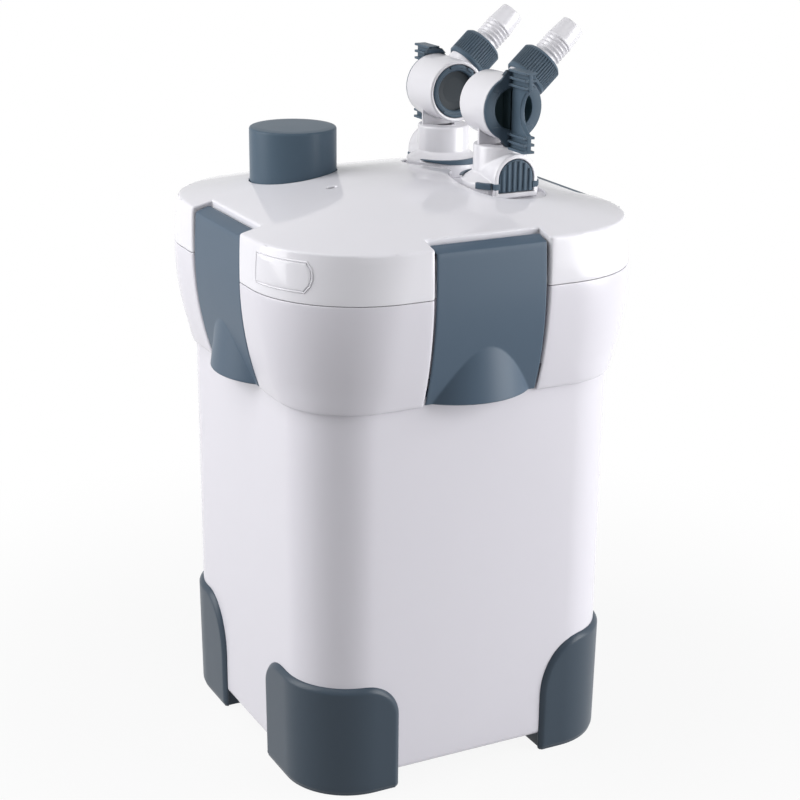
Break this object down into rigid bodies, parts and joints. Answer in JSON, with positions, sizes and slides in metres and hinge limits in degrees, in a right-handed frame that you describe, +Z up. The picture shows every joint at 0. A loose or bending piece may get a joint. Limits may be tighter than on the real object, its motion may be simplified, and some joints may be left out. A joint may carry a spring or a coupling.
{
  "type": "canister filter",
  "caption": "Four-sided external canister filter: tapered tub with corner feet, clipped pump head, priming button and quick-release taps with hose tails.",
  "frame": {"origin": "middle of the footprint, on the surface that the feet stand on", "axes": "+Z up; -Y the front, with the front tap; -X the left side; the hose tails lean towards +X"},
  "size_m": [0.283, 0.283, 0.5225],
  "materials": {
    "tub_white": "satin white",
    "head_white": "glossy white",
    "cover_white": "glossy white",
    "tap_white": "glossy white",
    "guard_blue": "satin blue-grey",
    "clip_blue": "satin blue-grey",
    "tap_blue": "satin blue-grey",
    "inner_plastic": "matt dark plastic",
    "basket_grey": "matt grey",
    "media_foam": "open foam",
    "seal_rubber": "matt rubber",
    "motor_resin": "potted resin",
    "steel": "plain steel",
    "ceramic": "polished ceramic",
    "quartz": "clear quartz",
    "lamp_glass": "clear lamp tube"
  },
  "bodies": {
    "filter": {"canister": "tub_white", "foot_front_left": "guard_blue", "foot_front_right": "guard_blue", "foot_rear_left": "guard_blue", "foot_rear_right": "guard_blue", "head_cover": "cover_white", "head_bowl": "head_white", "head_gasket": "seal_rubber", "head_screws": "steel", "clip_pins": "steel", "cord_gland": "inner_plastic", "primer_cylinder": "inner_plastic", "motor_block": "motor_resin", "impeller_shaft": "ceramic", "volute_cover": "inner_plastic", "intake_pipe": "inner_plastic", "lamp_holder": "inner_plastic", "quartz_sleeve": "quartz", "uv_lamp": "lamp_glass", "sight_lens": "quartz", "basket_bottom": "basket_grey", "basket_lower": "basket_grey", "basket_upper": "basket_grey", "basket_top": "basket_grey", "foam_bottom": "media_foam", "foam_lower": "media_foam", "foam_upper": "media_foam", "foam_top": "media_foam", "primer_spring": "steel", "front_tap_body": "tap_white", "front_tap_end_ring": "tap_blue", "front_spigot_rings": "seal_rubber", "front_barb_washer": "seal_rubber", "front_latch_spring": "steel", "rear_tap_body": "tap_white", "rear_tap_end_ring": "tap_blue", "rear_spigot_rings": "seal_rubber", "rear_barb_washer": "seal_rubber", "rear_latch_spring": "steel"},
    "primer": {"primer_button": "clip_blue", "primer_seal": "seal_rubber"},
    "impeller": {"impeller": "inner_plastic"},
    "clip_front": {"clip_front": "clip_blue"},
    "clip_rear": {"clip_rear": "clip_blue"},
    "clip_left": {"clip_left": "clip_blue"},
    "clip_right": {"clip_right": "clip_blue"},
    "front_valve": {"front_tap_knob": "tap_blue", "front_tap_plug": "inner_plastic"},
    "front_latch": {"front_tap_latch": "tap_blue"},
    "front_hose_tail": {"front_hose_barb": "tap_white"},
    "front_nut": {"front_hose_nut": "tap_blue"},
    "rear_valve": {"rear_tap_knob": "tap_blue", "rear_tap_plug": "inner_plastic"},
    "rear_latch": {"rear_tap_latch": "tap_blue"},
    "rear_hose_tail": {"rear_hose_barb": "tap_white"},
    "rear_nut": {"rear_hose_nut": "tap_blue"}
  },
  "joints": [
    {"name": "clip_front_hinge", "type": "hinge", "parent": "filter", "child": "clip_front", "pos_m": [0, -0.1275, 0.3905], "axis": [-1, 0, 0], "range_deg": [0, 105]},
    {"name": "clip_rear_hinge", "type": "hinge", "parent": "filter", "child": "clip_rear", "pos_m": [0, 0.1275, 0.3905], "axis": [1, 0, 0], "range_deg": [0, 105]},
    {"name": "clip_left_hinge", "type": "hinge", "parent": "filter", "child": "clip_left", "pos_m": [-0.1275, 0, 0.3905], "axis": [0, 1, 0], "range_deg": [0, 105]},
    {"name": "clip_right_hinge", "type": "hinge", "parent": "filter", "child": "clip_right", "pos_m": [0.1275, 0, 0.3905], "axis": [0, -1, 0], "range_deg": [0, 105]},
    {"name": "primer_push", "type": "slide", "parent": "filter", "child": "primer", "axis": [0, 0, -1], "range_m": [0, 0.025], "stiffness_N_per_m": 400, "springref_m": -0.004, "deforming": ["primer_spring"]},
    {"name": "impeller_spin", "type": "hinge", "parent": "filter", "child": "impeller", "pos_m": [-0.04, -0.064, 0.3], "axis": [0, 0, 1], "continuous": true},
    {"name": "front_valve_turn", "type": "hinge", "parent": "filter", "child": "front_valve", "pos_m": [0.059, -0.042, 0.4645], "axis": [0, -1, 0], "range_deg": [0, 90]},
    {"name": "front_latch_push", "type": "slide", "parent": "filter", "child": "front_latch", "axis": [0, 1, 0], "range_m": [0, 0.003], "stiffness_N_per_m": 800, "springref_m": -0.002, "deforming": ["front_latch_spring"]},
    {"name": "front_tail_pull", "type": "slide", "parent": "filter", "child": "front_hose_tail", "axis": [0.7373, 0, 0.6756], "range_m": [0, 0.009]},
    {"name": "front_nut_turn", "type": "hinge", "parent": "front_hose_tail", "child": "front_nut", "pos_m": [0.059, -0.042, 0.4645], "axis": [0.7373, 0, 0.6756], "range_deg": [0, 1080]},
    {"name": "rear_valve_turn", "type": "hinge", "parent": "filter", "child": "rear_valve", "pos_m": [0.059, 0.042, 0.4645], "axis": [0, -1, 0], "range_deg": [0, 90]},
    {"name": "rear_latch_push", "type": "slide", "parent": "filter", "child": "rear_latch", "axis": [0, -1, 0], "range_m": [0, 0.003], "stiffness_N_per_m": 800, "springref_m": -0.002, "deforming": ["rear_latch_spring"]},
    {"name": "rear_tail_pull", "type": "slide", "parent": "filter", "child": "rear_hose_tail", "axis": [0.7373, 0, 0.6756], "range_m": [0, 0.009]},
    {"name": "rear_nut_turn", "type": "hinge", "parent": "rear_hose_tail", "child": "rear_nut", "pos_m": [0.059, 0.042, 0.4645], "axis": [0.7373, 0, 0.6756], "range_deg": [0, 1080]}
  ],
  "couplings": [
    {"joint": "front_nut_turn", "follows": "front_tail_pull", "rad_per_m": 2094.4},
    {"joint": "rear_nut_turn", "follows": "rear_tail_pull", "rad_per_m": 2094.4}
  ]
}
